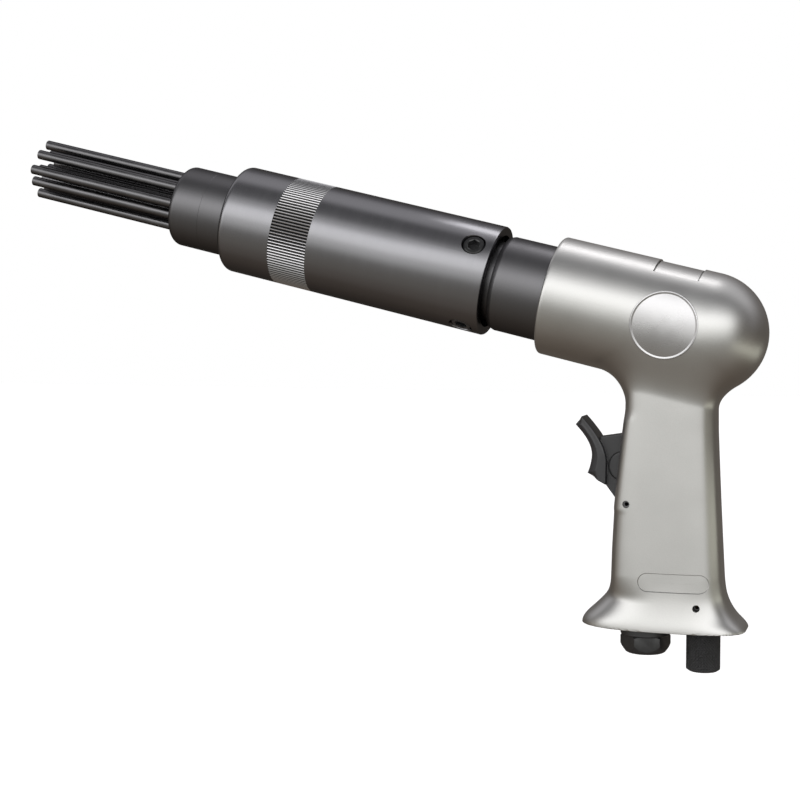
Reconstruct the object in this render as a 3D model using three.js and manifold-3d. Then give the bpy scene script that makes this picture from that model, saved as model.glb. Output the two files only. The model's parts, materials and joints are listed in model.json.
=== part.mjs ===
// Pistol-grip pneumatic hammer carrying a needle-scaler head. Millimetres, +Z up, muzzle towards -X.
// The origin is on the grip's base face, on the mid-plane, halfway between the inlet and the regulator.
import * as THREE from "three";
import { mergeVertices } from "three/addons/utils/BufferGeometryUtils.js";
import Module from "manifold-3d";

const wasm = await Module();
wasm.setup();

// ---------------------------------------------------------------- driving dimensions
const GAP = 0.3; // clearance left between neighbouring solids
const ROUND = 32; // sides of a large turned piece
const SMALL = 16; // sides of a small turned piece
const PIN = 10; // sides of a pin or a needle

// Barrel axis. Stations run along it from a point inside the housing's mouth: + to the muzzle, - to the rear.
const TILT = THREE.MathUtils.degToRad(13.5);
const FACE = new THREE.Vector3(-45.5, 0, 121);

// Housing
const HOUSING_R = 22.15;
const HOUSING_FRONT = 0.9;
const DOME = -57.7; // station of the rear dome's centre
const BORE_R = 17.2;
const BORE_REAR = -50;
const MOUTH_R = 18.5;
const MOUTH_REAR = -13;
const CHAMBER_R = 12;
const CHAMBER_REAR = -62;
const COVER_FLAT = { from: -52, to: -35.5, halfWidth: 13.4, depth: 0.5 };
const BADGE = { station: -44.9, r: 12.1, thickness: 0.8 };
const OIL_PANEL = { x: 1.3, z: 17.9, length: 25.5, height: 6.9, depth: 0.4 };

// Grip: stations up the grip, each [z, front x, rear x, half width]
const GRIP_SQUARENESS = 3;
const GRIP = [
  [0, -33.6, 26.6, 16.8],
  [1.3, -34.3, 26.7, 17.0],
  [4, -32.4, 22.8, 16.4],
  [8, -27.8, 20.4, 15.7],
  [12, -24.0, 18.8, 15.2],
  [17, -22.5, 18.2, 15.0],
  [29, -22.1, 17.4, 14.8],
  [45, -21.4, 16.5, 14.6],
  [59, -20.4, 15.7, 14.5],
  [72, -18.9, 15.0, 14.4],
  [79, -17.9, 14.8, 14.5],
  [84, -18.2, 16.0, 15.0],
  [88, -19.6, 19.2, 15.9],
  [92, -23.0, 24.0, 17.3],
  [98, -25.0, 25.0, 18.4],
  [108, -25.5, 24.0, 19.0],
];

// Trigger, pivoting in the grip's slot
const TRIGGER_PIVOT = { x: -16, z: 45.7 };
const TRIGGER_PIN_R = 1.2;
const BLADE_HALF_WIDTH = 6.3;
const WEB_HALF_WIDTH = 3.7;
const SLOT = { rear: -8.6, halfWidth: 4.4, bottom: 40.6, top: 74.6 };
const BOSS = { x: -18.7, z: 58.6, r: 5.2, halfWidth: 4.0 };

// Throttle valve, along X through the grip behind the trigger
const THROTTLE_Z = 59;
const THROTTLE_BORE = { from: -9, to: 9.6, r: 6.5 };
const STEM_R = 1.5;

// Inlet and regulator, both entering through spot faces in the grip's base
const SPOT_FACE = { depth: 0.4, inletR: 9.6, regulatorR: 6.6 };
const INLET_X = -10.6;
const INLET_HEX = 16; // across flats
const INLET_BOTTOM = -10.3;
const INLET_TURN = THREE.MathUtils.degToRad(13);
const PORT_R = 5.6;
const REGULATOR_X = 10.6;
const SPINDLE_R = 3.9;
const REGULATOR_KNOB_R = 6.2;
const REGULATOR_PIN = { x: 9.7, z: 9.3 };

// Barrel, head and needles, by station
const CYLINDER = { rear: -30.2, shoulder: 21.2, front: 60.3, r: 17.9, neckR: 15, boreR: 9.5 };
const SHROUD = { rear: 23.3, front: 130, r: 20.8, boreR: 17.6, lipR: 16.05, edge: 3.5 };
const SET_SCREW = { station: 30.5, r: 4, socket: 4, angles: [36, 126, 216, 295] };
const NOSE = { rear: 90, step: 125.2, front: 154.5, r: 15.75, boreR: 14.3, mouthR: 12.9, edge: 2.7 };
const NEEDLE = { rear: 94.3, front: 219, r: 1.9, headR: 2.35, headLength: 2, clearance: 0.2 };
// Needle centres across the barrel: up from the axis, and out from it to the -Y side.
const NEEDLES_AT = [
  [10.6, 1.1],
  [6.3, 6.1],
  [0, 9],
  [-4.5, 6.3],
  [-9, 0.2],
  [6.8, -2.6],
  [4, -8],
  [0.5, 3.4],
  [1.4, -3.3],
  [-2.9, -0.6],
  [-6.3, -4],
  [-2.4, -8.8],
];

// ---------------------------------------------------------------- solids
function solid(geometry) {
  const bare = geometry.clone();
  bare.deleteAttribute("normal");
  bare.deleteAttribute("uv");
  const merged = mergeVertices(bare, 1e-4);
  return new wasm.Manifold(
    new wasm.Mesh({
      numProp: 3,
      vertProperties: merged.attributes.position.array,
      triVerts: new Uint32Array(merged.index.array),
    }),
  );
}

function geometryOf(manifold) {
  const mesh = manifold.getMesh();
  const geometry = new THREE.BufferGeometry();
  geometry.setAttribute("position", new THREE.BufferAttribute(mesh.vertProperties, 3));
  geometry.setIndex(new THREE.BufferAttribute(mesh.triVerts, 1));
  geometry.computeVertexNormals();
  return geometry;
}

function cut(base, ...tools) {
  return geometryOf(tools.reduce((left, tool) => left.subtract(solid(tool)), solid(base)));
}

function join(base, ...others) {
  return geometryOf(others.reduce((sum, other) => sum.add(solid(other)), solid(base)));
}

function common(a, b) {
  return geometryOf(solid(a).intersect(solid(b)));
}

// A solid of revolution about Z from [radius, z] pairs, listed anticlockwise.
function turned(profile, sides = ROUND) {
  const points = profile.map(([r, z]) => new THREE.Vector2(r, z));
  if (profile[0][0] > 0 || profile.at(-1)[0] > 0) points.push(points[0].clone());
  return new THREE.LatheGeometry(points, sides).rotateX(Math.PI / 2);
}

function rod(r, from, to, sides = SMALL) {
  return turned([[0, from], [r, from], [r, to], [0, to]], sides);
}

function tube(inner, outer, from, to, sides = ROUND) {
  return turned([[inner, from], [outer, from], [outer, to], [inner, to]], sides);
}

// Rods along the other two axes, placed by the point that their axis passes through.
function rodX(r, from, to, z, sides = SMALL) {
  return rod(r, from, to, sides).rotateY(Math.PI / 2).translate(0, 0, z);
}

function rodY(r, from, to, x, z, sides = SMALL) {
  return rod(r, from, to, sides).rotateX(-Math.PI / 2).translate(x, 0, z);
}

// A straight drilling in the XZ plane between two points.
function drilling(r, x1, z1, x2, z2) {
  const length = Math.hypot(x2 - x1, z2 - z1);
  return rod(r, 0, length, PIN).rotateY(Math.atan2(x2 - x1, z2 - z1)).translate(x1, 0, z1);
}

function box(x1, x2, y1, y2, z1, z2) {
  return new THREE.BoxGeometry(x2 - x1, y2 - y1, z2 - z1).translate(
    (x1 + x2) / 2,
    (y1 + y2) / 2,
    (z1 + z2) / 2,
  );
}

function hexagon(acrossFlats, from, to, turn = 0) {
  return rod(acrossFlats / Math.sqrt(3), from, to, 6).rotateZ(turn);
}

// A plate in the XZ plane, centred on the mid-plane.
function plate(shape, halfWidth, curveSegments = 8) {
  const settings = { depth: 2 * halfWidth, bevelEnabled: false, curveSegments };
  return new THREE.ExtrudeGeometry(shape, settings).rotateX(Math.PI / 2).translate(0, halfWidth, 0);
}

function ring(meanR, sectionR, z, sides = SMALL) {
  const profile = [];
  for (let i = 0; i < 6; i++) {
    const a = (i / 6) * 2 * Math.PI;
    profile.push([meanR + sectionR * Math.cos(a), z + sectionR * Math.sin(a)]);
  }
  return turned(profile, sides);
}

// A coil spring about Z with round wire.
class Helix extends THREE.Curve {
  constructor(r, from, to, turns) {
    super();
    Object.assign(this, { r, from, to, turns });
  }

  getPoint(t, target = new THREE.Vector3()) {
    const a = t * this.turns * 2 * Math.PI;
    return target.set(
      this.r * Math.cos(a),
      this.r * Math.sin(a),
      this.from + (this.to - this.from) * t,
    );
  }
}

function spring(meanR, wireR, from, to, turns) {
  const path = new Helix(meanR, from + wireR, to - wireR, turns);
  const section = new THREE.Shape();
  for (let i = 0; i < 5; i++) {
    const a = (i / 5) * 2 * Math.PI;
    const x = wireR * Math.cos(a);
    const y = wireR * Math.sin(a);
    if (i === 0) section.moveTo(x, y);
    else section.lineTo(x, y);
  }
  return new THREE.ExtrudeGeometry(section, {
    steps: Math.round(turns * 12),
    extrudePath: path,
    bevelEnabled: false,
  });
}

// Points of a quarter-round from angle a1 to a2 (degrees) about [r, z].
function arc(r, z, radius, a1, a2, steps = 3) {
  const points = [];
  for (let i = 0; i <= steps; i++) {
    const a = THREE.MathUtils.degToRad(a1 + ((a2 - a1) * i) / steps);
    points.push([r + radius * Math.cos(a), z + radius * Math.sin(a)]);
  }
  return points;
}

// ---------------------------------------------------------------- materials
function finish(color, roughness, metalness) {
  return new THREE.MeshStandardMaterial({ color, roughness, metalness });
}

const aluminium = finish(0xb9b6b1, 0.38, 0.9);
const gunmetal = finish(0x4b4a4d, 0.42, 0.85);
const darkSteel = finish(0x3c3c3f, 0.5, 0.8);
const brightSteel = finish(0x9a9a9c, 0.3, 1);
const blackSteel = finish(0x1c1c1d, 0.5, 0.6);
const blackPlastic = finish(0x232325, 0.6, 0);
const brass = finish(0xb08d4a, 0.35, 1);
const rubber = finish(0x141414, 0.85, 0);

// ---------------------------------------------------------------- assembly frame
const tool = new THREE.Group();

// Local frame of the barrel: +Z to the muzzle, +X up across the axis, Y shared with the tool.
const barrel = new THREE.Group();
barrel.position.copy(FACE);
barrel.rotation.y = TILT - Math.PI / 2;
tool.add(barrel);

function piece(name, geometry, material, parent = tool) {
  const mesh = new THREE.Mesh(geometry, material);
  mesh.name = name;
  parent.add(mesh);
}

// Takes a geometry from the barrel's frame into the tool's.
function fromBarrel(geometry) {
  barrel.updateMatrixWorld();
  return geometry.applyMatrix4(barrel.matrixWorld);
}

// ---------------------------------------------------------------- housing
// The grip is a tall cylinder whose rings follow the grip's stations as squarish ovals.
function gripBlank() {
  const rows = 22;
  const bottom = GRIP[0][0];
  const top = GRIP.at(-1)[0];
  const curves = [1, 2, 3].map(
    (column) => new THREE.SplineCurve(GRIP.map((row) => new THREE.Vector2(row[0], row[column]))),
  );
  const geometry = new THREE.CylinderGeometry(1, 1, 1, 28, rows);
  const position = geometry.attributes.position;
  for (let i = 0; i < position.count; i++) {
    const u = position.getY(i) + 0.5;
    const [front, rear, half] = curves.map((curve) => curve.getPoint(u));
    const reach = Math.hypot(position.getX(i), position.getZ(i));
    const angle = Math.atan2(position.getZ(i), position.getX(i));
    const oval = (value) => Math.sign(value) * Math.abs(value) ** (2 / GRIP_SQUARENESS);
    position.setXYZ(
      i,
      (front.y + rear.y) / 2 + ((rear.y - front.y) / 2) * reach * oval(Math.cos(angle)),
      -half.y * reach * oval(Math.sin(angle)),
      THREE.MathUtils.clamp(front.x, bottom, top),
    );
  }
  return geometry;
}

function bodyBlank() {
  const edge = 1.5;
  return fromBarrel(
    turned([
      ...arc(0, DOME, HOUSING_R, -90, 0, 9),
      ...arc(HOUSING_R - edge, HOUSING_FRONT - edge, edge, 0, 90, 3),
      [0, HOUSING_FRONT],
    ]),
  );
}

function boreTool() {
  return turned([
    [0, CHAMBER_REAR],
    [CHAMBER_R, CHAMBER_REAR],
    [CHAMBER_R, BORE_REAR],
    [BORE_R, BORE_REAR],
    [BORE_R, MOUTH_REAR],
    [MOUTH_R, MOUTH_REAR],
    [MOUTH_R, HOUSING_FRONT + 1],
    [0, HOUSING_FRONT + 1],
  ]);
}

// Shallow recess across the housing's top.
function coverRecess() {
  const { from, to, halfWidth, depth } = COVER_FLAT;
  const band = tube(HOUSING_R - depth, HOUSING_R + 2, from, to, 48);
  return common(band, box(10, 30, -halfWidth, halfWidth, from, to));
}

// A round patch of the housing's wall between two radii, on the -Y side.
function badgePatch(r, inner, outer) {
  const band = tube(inner, outer, BADGE.station - 2 * r, BADGE.station + 2 * r, 48);
  return common(band, rodY(r, 10, 30, 0, 0, 24).rotateX(Math.PI).translate(0, 0, BADGE.station));
}

function oilPanel() {
  const { x, z, length, height, depth } = OIL_PANEL;
  const straight = (length - height) / 2;
  const shape = new THREE.Shape();
  shape.absarc(x + straight, z, height / 2, -Math.PI / 2, Math.PI / 2);
  shape.absarc(x - straight, z, height / 2, Math.PI / 2, (3 * Math.PI) / 2);
  return plate(shape, 4).translate(0, -15 + depth - 4, 0);
}

function housing() {
  const pinLength = HOUSING_R;
  const chamberFoot = { x: 7, z: 100 };
  return cut(
    join(gripBlank(), bodyBlank()),
    fromBarrel(boreTool()),
    fromBarrel(coverRecess()),
    fromBarrel(badgePatch(BADGE.r + GAP, HOUSING_R - BADGE.thickness - GAP, HOUSING_R + 2)),
    oilPanel(),
    box(-60, SLOT.rear, -SLOT.halfWidth, SLOT.halfWidth, SLOT.bottom, SLOT.top),
    rodY(TRIGGER_PIN_R + GAP, -pinLength, pinLength, TRIGGER_PIVOT.x, TRIGGER_PIVOT.z, PIN),
    rodX(THROTTLE_BORE.r, THROTTLE_BORE.from, THROTTLE_BORE.to, THROTTLE_Z),
    drilling(2.2, -2.8, THROTTLE_Z, chamberFoot.x, chamberFoot.z),
    rod(SPOT_FACE.inletR, -1, SPOT_FACE.depth).translate(INLET_X, 0, 0),
    rod(7.1, -1, 13).translate(INLET_X, 0, 0),
    rod(5.6, 12, 31).translate(INLET_X, 0, 0),
    drilling(2.8, INLET_X, 25, REGULATOR_X, 25),
    rod(SPOT_FACE.regulatorR, -1, SPOT_FACE.depth).translate(REGULATOR_X, 0, 0),
    rod(SPINDLE_R + GAP, -1, 36).translate(REGULATOR_X, 0, 0),
    drilling(2.4, REGULATOR_X - 1, 35, 6.2, THROTTLE_Z - 3),
    rodY(1.4, -pinLength, 0, REGULATOR_PIN.x, REGULATOR_PIN.z, PIN),
  );
}

piece("housing", housing(), aluminium);
piece(
  "side_badge",
  badgePatch(BADGE.r, HOUSING_R - BADGE.thickness, HOUSING_R - 0.05),
  aluminium,
  barrel,
);

// ---------------------------------------------------------------- inlet
function inletBushing() {
  const corner = INLET_HEX / Math.sqrt(3);
  const dome = turned([
    [0, INLET_BOTTOM],
    [6.9, INLET_BOTTOM],
    [8.2, INLET_BOTTOM + 1.7],
    [corner + 0.2, INLET_BOTTOM + 3.8],
    [corner + 0.2, -3.4],
    [0, -3.4],
  ]);
  return cut(
    join(
      common(hexagon(INLET_HEX, INLET_BOTTOM, -3.4, INLET_TURN + Math.PI / 6), dome),
      rod(9.2, -3.5, SPOT_FACE.depth - GAP, 48),
      rod(6.8, 0, 12.6, 32),
    ),
    rod(PORT_R, INLET_BOTTOM - 1, 0, 24),
    rod(4.2, -1, 14, 24),
  );
}

piece("inlet_bushing", inletBushing().translate(INLET_X, 0, 0), blackSteel);
piece(
  "inlet_strainer",
  turned([[4.5, 13], [5.2, 13], [5.2, 21], [0, 21], [0, 20.3], [4.5, 20.3]], SMALL)
    .translate(INLET_X, 0, 0),
  brass,
);

// ---------------------------------------------------------------- regulator
// The spindle's upper half-moon opens or closes the cross drilling as the knob turns.
function regulatorSpindle() {
  const blank = turned(
    [
      [0, -10],
      [2.3, -10],
      [2.3, 1],
      [SPINDLE_R, 1],
      [SPINDLE_R, 7.9],
      [2.6, 7.9],
      [2.6, 10.7],
      [SPINDLE_R, 10.7],
      [SPINDLE_R, 14.6],
      [2.8, 14.6],
      [2.8, 17.4],
      [SPINDLE_R, 17.4],
      [SPINDLE_R, 34],
      [0, 34],
    ],
    24,
  );
  return cut(blank, box(-6, 0, -6, 6, 21, 35));
}

function regulatorKnob() {
  const r = REGULATOR_KNOB_R;
  const bottom = -16;
  return cut(
    turned([[0, bottom], [r - 0.9, bottom], [r, bottom + 0.9], [r, -0.9], [r - 0.5, -0.4], [0, -0.4]], 24),
    rod(2.6, -10.3, 0),
  );
}

piece("regulator_spindle", regulatorSpindle().translate(REGULATOR_X, 0, 0), brass);
piece("regulator_o_ring", ring(3.6, 0.45, 16).translate(REGULATOR_X, 0, 0), rubber);
piece("regulator_knob", regulatorKnob().translate(REGULATOR_X, 0, 0), blackSteel);
piece("regulator_pin", rodY(1.1, -12, -2.9, REGULATOR_PIN.x, REGULATOR_PIN.z, PIN), blackSteel);

// ---------------------------------------------------------------- trigger
function bladeShape() {
  const shape = new THREE.Shape();
  shape.moveTo(-36.9, 73.5);
  shape.quadraticCurveTo(-29.6, 66.2, -30.9, 60.6);
  shape.quadraticCurveTo(-31.2, 58.2, -32.3, 55.6);
  shape.lineTo(-24.9, 51.7);
  shape.lineTo(-24.7, 60.2);
  shape.quadraticCurveTo(-25.1, 67.4, -34.1, 76.8);
  shape.closePath();
  return shape;
}

function webShape() {
  const { x, z } = TRIGGER_PIVOT;
  const shape = new THREE.Shape();
  shape.moveTo(-27.4, 69.2);
  shape.lineTo(-27.0, 53.9);
  shape.absarc(x, z, 3.9, THREE.MathUtils.degToRad(215), THREE.MathUtils.degToRad(372));
  shape.lineTo(-13.2, 57);
  shape.lineTo(-13.7, 71.4);
  shape.closePath();
  return shape;
}

function trigger() {
  const { x, z, r, halfWidth } = BOSS;
  return cut(
    join(
      plate(bladeShape(), BLADE_HALF_WIDTH),
      plate(webShape(), WEB_HALF_WIDTH),
      rodY(r, -halfWidth, halfWidth, x, z, 20),
    ),
    rodY(TRIGGER_PIN_R + GAP, -9, 9, TRIGGER_PIVOT.x, TRIGGER_PIVOT.z, PIN),
  );
}

piece("trigger", trigger(), blackPlastic);
piece(
  "trigger_pin",
  rodY(TRIGGER_PIN_R, -12.2, 12.2, TRIGGER_PIVOT.x, TRIGGER_PIVOT.z, PIN),
  brightSteel,
);

// ---------------------------------------------------------------- throttle valve
// Written along +Z and laid along +X at the throttle's height.
function throttlePiece(name, geometry, material) {
  piece(name, geometry.rotateY(Math.PI / 2).translate(0, 0, THROTTLE_Z), material);
}

throttlePiece(
  "throttle_bush",
  turned([[1.85, -8.2], [6.2, -8.2], [6.2, -4.4], [3.7, -4.4], [3.7, -6.3], [1.85, -6.3]], SMALL),
  brass,
);
throttlePiece("throttle_o_ring", ring(2.6, 0.75, -5.4), rubber);
throttlePiece("throttle_seat", tube(3, 6.2, -1.2, 0.8, SMALL), brass);
throttlePiece(
  "throttle_stem",
  turned([[0, -12.9], [1.1, -12.9], [STEM_R, -12.3], [STEM_R, 0.8], [0, 0.8]], 16),
  brightSteel,
);
throttlePiece(
  "throttle_valve",
  turned([[0, 1.1], [4.6, 1.1], [4.6, 3.1], [2, 3.1], [2, 4.1], [0, 4.1]], SMALL),
  rubber,
);
throttlePiece("throttle_spring", spring(3.2, 0.45, 3.4, 9.3, 4), brightSteel);

// ---------------------------------------------------------------- distributing valve
function valvePorts(from, to) {
  const ports = [];
  for (let i = 0; i < 6; i++) {
    ports.push(rod(1.6, from, to, PIN).translate(13, 0, 0).rotateZ((i * Math.PI) / 3));
  }
  return ports;
}

function dowelPlace(geometry) {
  return geometry.translate(13.2, 0, 0).rotateZ(Math.PI / 6);
}

const CHEST = { rear: BORE_REAR + GAP, front: -41 };
const PLATE = { rear: -40.7, front: -30.5 };

piece(
  "valve_chest",
  cut(
    rod(BORE_R - GAP, CHEST.rear, CHEST.front, ROUND),
    rod(8.2, -44, -40, 28),
    rod(2.5, CHEST.rear - 1, -43),
    dowelPlace(rod(1.75, -46.3, -40, PIN)),
    ...valvePorts(CHEST.rear - 1, -40),
  ),
  darkSteel,
  barrel,
);
piece("valve_disc", rod(7.8, -43.7, -42.5, 28), brightSteel, barrel);
piece(
  "valve_plate",
  cut(
    rod(BORE_R - GAP, PLATE.rear, PLATE.front, ROUND),
    rod(3, -42, -30),
    dowelPlace(rod(1.75, -42, -33.7, PIN)),
    ...valvePorts(-42, -30),
  ),
  darkSteel,
  barrel,
);
piece("valve_dowel", dowelPlace(rod(1.45, -46, -34, PIN)), brightSteel, barrel);

// ---------------------------------------------------------------- cylinder and hammer
function cylinder() {
  const { rear, shoulder, front, r, neckR, boreR } = CYLINDER;
  const ports = [0, 1, 2].map((i) =>
    rod(1.5, 5, r + 1, PIN).rotateY(Math.PI / 2).translate(0, 0, -8).rotateZ((i * 2 * Math.PI) / 3),
  );
  return cut(
    turned([
      [boreR, rear],
      [BORE_R - GAP, rear],
      [BORE_R - GAP, MOUTH_REAR + 0.4],
      [r, MOUTH_REAR + 0.4],
      [r, shoulder - 1],
      [r - 1, shoulder],
      [neckR, shoulder],
      [neckR, front],
      [6.3, front],
      [6.3, 50],
      [boreR, 50],
    ]),
    ...ports,
  );
}

piece("cylinder", cylinder(), darkSteel, barrel);
piece(
  "piston",
  turned(
    [
      [0, -29.2],
      [8.2, -29.2],
      [9.2, -28.2],
      [9.2, -20],
      [8.7, -19.6],
      [8.7, -17.4],
      [9.2, -17],
      [9.2, 5],
      [8.2, 6],
      [0, 6],
    ],
    28,
  ),
  brightSteel,
  barrel,
);
piece("anvil_buffer", tube(6.8, 12, 60.6, 62.2, 28), rubber, barrel);
piece(
  "anvil",
  turned(
    [
      [0, 48],
      [5.4, 48],
      [6, 48.6],
      [6, 62.5],
      [11.7, 62.5],
      [12.3, 63.1],
      [12.3, 85.9],
      [11.7, 86.5],
      [0, 86.5],
    ],
    28,
  ),
  brightSteel,
  barrel,
);
piece("anvil_bush", tube(12.6, 17.3, 62.5, 89.7), brass, barrel);

// ---------------------------------------------------------------- shroud
// Set-screw angles are taken about the barrel from the -Y side upwards.
function around(geometry, angle) {
  return geometry
    .rotateX(Math.PI / 2)
    .translate(0, 0, SET_SCREW.station)
    .rotateZ(THREE.MathUtils.degToRad(angle));
}

function shroud() {
  const { rear, front, r, boreR, lipR, edge } = SHROUD;
  const holes = SET_SCREW.angles.map((angle) => around(rod(SET_SCREW.r + GAP, 12, r + 2), angle));
  return cut(
    turned([
      [boreR, rear],
      [r - 0.5, rear],
      [r, rear + 0.5],
      ...arc(r - edge, front - edge, edge, 0, 90),
      [lipR, front],
      [lipR, NOSE.step + GAP],
      [boreR, NOSE.step + GAP],
    ]),
    ...holes,
  );
}

function setScrew(angle) {
  const top = SHROUD.r - 0.5;
  const body = turned(
    [[0, CYLINDER.neckR + GAP], [SET_SCREW.r, CYLINDER.neckR + GAP], [SET_SCREW.r, top - 0.5],
      [SET_SCREW.r - 0.5, top], [0, top]],
    SMALL,
  );
  return around(cut(body, hexagon(SET_SCREW.socket, top - 2.6, top + 1)), angle);
}

piece("shroud", shroud(), gunmetal, barrel);
piece("shroud_o_ring", ring(16.3, 0.95, 44, 24), rubber, barrel);
SET_SCREW.angles.forEach((angle, index) => {
  piece("set_screw_" + (index + 1), setScrew(angle), blackSteel, barrel);
});

// ---------------------------------------------------------------- nose and needles
function needlePlaces() {
  return NEEDLES_AT.map(([up, out]) => [up, -out]);
}

function noseTube() {
  const { rear, step, front, r, boreR, mouthR, edge } = NOSE;
  return turned([
    [boreR, rear],
    [SHROUD.boreR - GAP, rear],
    [SHROUD.boreR - GAP, step],
    [r, step],
    ...arc(r - edge, front - edge, edge, 0, 90),
    [mouthR, front],
    [mouthR, front - 4.5],
    [boreR, front - 4.5],
  ]);
}

const holeR = NEEDLE.r + NEEDLE.clearance;
const headHoleR = NEEDLE.headR + NEEDLE.clearance;
const HOLDER = { rear: 93.9, front: 101.7, r: 13.9 };
const GUIDE = { rear: 144, front: NOSE.front - 4.8, r: 14 };

piece("nose_tube", noseTube(), darkSteel, barrel);
piece(
  "needle_holder",
  cut(
    rod(HOLDER.r, HOLDER.rear, HOLDER.front, ROUND),
    ...needlePlaces().flatMap(([x, y]) => [
      rod(holeR, HOLDER.rear - 1, HOLDER.front + 1, PIN).translate(x, y, 0),
      rod(headHoleR, HOLDER.rear - 1, NEEDLE.rear + NEEDLE.headLength + GAP, PIN).translate(x, y, 0),
    ]),
  ),
  darkSteel,
  barrel,
);
piece(
  "needle_guide",
  cut(
    rod(GUIDE.r, GUIDE.rear, GUIDE.front, ROUND),
    ...needlePlaces().map(([x, y]) => rod(holeR, GUIDE.rear - 1, GUIDE.front + 1, PIN).translate(x, y, 0)),
  ),
  darkSteel,
  barrel,
);
piece("return_spring", spring(13.4, 0.45, 102, 143.7, 6), brightSteel, barrel);

needlePlaces().forEach(([x, y], index) => {
  const { rear, front, r, headR, headLength } = NEEDLE;
  const shape = turned(
    [[0, rear], [headR, rear], [headR, rear + headLength], [r, rear + headLength], [r, front - 0.3],
      [r - 0.3, front], [0, front]],
    PIN,
  );
  piece("needle_" + String(index + 1).padStart(2, "0"), shape.translate(x, y, 0), darkSteel, barrel);
});

export default tool;
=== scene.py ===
# Looks for the pneumatic needle-scaler hammer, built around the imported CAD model.
# Lengths are in millimetres until a mesh is made, which is in metres.
import json
import math

import bmesh
import bpy
import numpy as np
import openvdb
from mathutils import Matrix, Vector


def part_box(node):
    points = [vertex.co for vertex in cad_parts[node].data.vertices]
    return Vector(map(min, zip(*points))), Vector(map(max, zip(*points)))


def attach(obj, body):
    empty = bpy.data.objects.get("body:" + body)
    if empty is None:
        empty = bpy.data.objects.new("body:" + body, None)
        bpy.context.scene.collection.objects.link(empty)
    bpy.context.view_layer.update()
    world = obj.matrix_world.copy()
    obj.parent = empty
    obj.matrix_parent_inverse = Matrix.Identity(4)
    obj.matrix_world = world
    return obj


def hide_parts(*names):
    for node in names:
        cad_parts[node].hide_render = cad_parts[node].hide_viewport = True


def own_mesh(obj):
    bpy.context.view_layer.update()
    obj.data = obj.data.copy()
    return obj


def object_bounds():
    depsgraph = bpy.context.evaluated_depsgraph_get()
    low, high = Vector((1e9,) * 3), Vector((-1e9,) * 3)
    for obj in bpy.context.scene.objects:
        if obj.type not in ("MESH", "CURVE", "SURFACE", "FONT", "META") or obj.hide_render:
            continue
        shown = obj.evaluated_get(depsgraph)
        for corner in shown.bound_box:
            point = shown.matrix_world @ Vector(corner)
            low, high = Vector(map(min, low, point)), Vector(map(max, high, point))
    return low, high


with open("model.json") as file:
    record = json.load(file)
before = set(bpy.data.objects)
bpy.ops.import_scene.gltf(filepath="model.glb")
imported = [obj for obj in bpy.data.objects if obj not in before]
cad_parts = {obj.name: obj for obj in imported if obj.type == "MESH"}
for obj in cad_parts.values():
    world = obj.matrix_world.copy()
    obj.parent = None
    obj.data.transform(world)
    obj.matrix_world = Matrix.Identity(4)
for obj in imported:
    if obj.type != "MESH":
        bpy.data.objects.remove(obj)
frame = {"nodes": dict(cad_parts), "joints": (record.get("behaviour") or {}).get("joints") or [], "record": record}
cad_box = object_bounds()

MM = 0.001
NODES = frame["nodes"]
JOINTS = {joint["name"]: joint for joint in frame["joints"]}

# ---- places read from the frame


def corners(node):
    """Lowest and highest corner of a CAD node, in millimetres."""
    low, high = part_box(node)
    return np.array(low) / MM, np.array(high) / MM


def points(node):
    """A CAD node's vertices, in millimetres."""
    mesh = NODES[node].data
    co = np.zeros(len(mesh.vertices) * 3)
    mesh.vertices.foreach_get("co", co)
    return co.reshape(-1, 3) / MM


def middle_x(node):
    low, high = corners(node)
    return (low[0] + high[0]) / 2


# The barrel's axis: its direction towards the muzzle, and the direction across it upwards.
AXIS = np.array(JOINTS["piston_stroke"]["axis"])
AXIS /= np.linalg.norm(AXIS)
ACROSS = np.array([AXIS[2], 0.0, -AXIS[0]])

# Stations run along the axis from FACE, a point just inside the housing's front face.
HOUSING_FRONT = 0.9
BODY_REACH = 23  # everything on the housing this near the axis belongs to its body
bush_middle = sum(corners("anvil_bush")) / 2
body_points = points("housing")
near_axis = np.linalg.norm(np.cross(body_points - bush_middle, AXIS), axis=1) < BODY_REACH
body_front = ((body_points[near_axis] - bush_middle) @ AXIS).max()
FACE = bush_middle + AXIS * (body_front - HOUSING_FRONT)

# Frame of a barrel piece: local Z to the muzzle, local X across the axis upwards, local Y the tool's.
BARREL = Matrix.Translation(Vector(FACE * MM)) @ Matrix(
    [
        [ACROSS[0], 0, AXIS[0]],
        [0, 1, 0],
        [ACROSS[2], 0, AXIS[2]],
    ]
).to_4x4()

HOUSING_R = corners("housing")[1][1]
PIVOT = np.array(JOINTS["trigger_pull"]["pos_m"]) / MM
NEEDLES = [f"needle_{i:02d}" for i in range(1, 13)]

# ---- meshes


def linked(name, data):
    """A new object, in the scene."""
    obj = bpy.data.objects.new(name, data)
    bpy.context.scene.collection.objects.link(obj)
    return obj


def new_object(name, verts, faces, matrix=None, sharp=30):
    """A smooth-shaded object from vertices in millimetres; edges above `sharp` degrees stay sharp."""
    mesh = bpy.data.meshes.new(name)
    mesh.from_pydata([tuple(v) for v in np.asarray(verts) * MM], [], faces)
    mesh.validate()
    obj = linked(name, mesh)
    if matrix is not None:
        obj.matrix_world = matrix
    smooth(obj, sharp)
    return obj


def smooth(obj, sharp=30):
    obj.data.shade_smooth()
    obj.data.set_sharp_from_angle(angle=math.radians(sharp))


def apply_modifiers(obj, sharp=30):
    """Turns the object's evaluated mesh into its mesh."""
    depsgraph = bpy.context.evaluated_depsgraph_get()
    mesh = bpy.data.meshes.new_from_object(obj.evaluated_get(depsgraph))
    obj.modifiers.clear()
    obj.data = mesh
    smooth(obj, sharp)


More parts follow.
